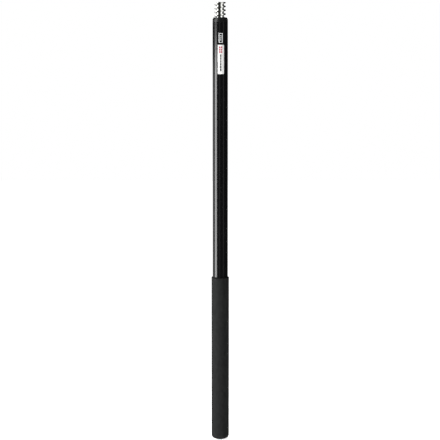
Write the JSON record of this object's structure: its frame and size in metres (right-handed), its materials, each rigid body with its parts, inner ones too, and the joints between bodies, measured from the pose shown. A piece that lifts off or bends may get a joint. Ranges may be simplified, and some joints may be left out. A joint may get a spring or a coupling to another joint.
{
  "type": "telescopic boom pole",
  "caption": "Hand-held telescopic pole with a closed foam grip, sliding sections held by internal twist locks, and a coarse threaded stud for a microphone mount.",
  "frame": {"origin": "lowest point of the grip's domed end, on the pole's axis, with all sections in", "axes": "+Z along the pole towards the stud's tip; the label faces -Y"},
  "size_m": [0.03, 0.03, 0.75],
  "materials": {
    "black_anodised_tube": "satin",
    "black_anodised_slide": "satin",
    "black_acetal": "satin",
    "black_head_alloy": "satin",
    "zinc_plated_stud": "gloss",
    "closed_cell_foam": "matte",
    "black_rubber": "matte",
    "black_badge_film": "gloss",
    "white_label_film": "satin",
    "natural_nylon": "satin",
    "grey_nylon": "satin",
    "turned_alloy": "satin",
    "steel_fastener": "satin"
  },
  "bodies": {
    "handle": {"outer_tube": "black_anodised_tube", "outer_mouth_bush": "black_acetal", "butt_plug": "black_acetal", "end_buffer": "black_rubber", "foam_grip": "closed_cell_foam", "badge": "black_badge_film", "spec_label": "white_label_film"},
    "middle_sleeve": {"middle_lock_sleeve": "natural_nylon"},
    "middle_cone": {"middle_lock_cone": "grey_nylon"},
    "middle_section": {"middle_tube": "black_anodised_slide", "middle_mouth_bush": "black_acetal", "middle_spindle": "turned_alloy", "middle_spindle_pin": "steel_fastener", "middle_stop_washer": "steel_fastener", "middle_stop_nut": "steel_fastener", "inner_buffer": "black_rubber"},
    "inner_sleeve": {"inner_lock_sleeve": "natural_nylon"},
    "inner_cone": {"inner_lock_cone": "grey_nylon"},
    "inner_section": {"inner_tube": "black_anodised_slide", "head_cap": "black_head_alloy", "threaded_stud": "zinc_plated_stud", "head_pin": "steel_fastener", "inner_spindle": "turned_alloy", "inner_spindle_pin": "steel_fastener", "inner_stop_washer": "steel_fastener", "inner_stop_nut": "steel_fastener"}
  },
  "joints": [
    {"name": "middle_slide", "type": "slide", "parent": "handle", "child": "middle_sleeve", "axis": [0, 0, 1], "range_m": [0, 0.621]},
    {"name": "middle_twist", "type": "hinge", "parent": "middle_sleeve", "child": "middle_section", "pos_m": [0, 0, 0.0527], "axis": [0, 0, 1], "range_deg": [0, 180]},
    {"name": "middle_cone_slide", "type": "slide", "parent": "middle_sleeve", "child": "middle_cone", "axis": [0, 0, -1], "range_m": [0, 0.0016]},
    {"name": "inner_slide", "type": "slide", "parent": "middle_section", "child": "inner_sleeve", "axis": [0, 0, 1], "range_m": [0, 0.5773]},
    {"name": "inner_twist", "type": "hinge", "parent": "inner_sleeve", "child": "inner_section", "pos_m": [0, 0, 0.1067], "axis": [0, 0, 1], "range_deg": [0, 180]},
    {"name": "inner_cone_slide", "type": "slide", "parent": "inner_sleeve", "child": "inner_cone", "axis": [0, 0, -1], "range_m": [0, 0.0016]}
  ],
  "couplings": [
    {"joint": "middle_cone_slide", "follows": "middle_twist", "m_per_rad": 0.00047746},
    {"joint": "inner_cone_slide", "follows": "inner_twist", "m_per_rad": 0.00047746}
  ]
}
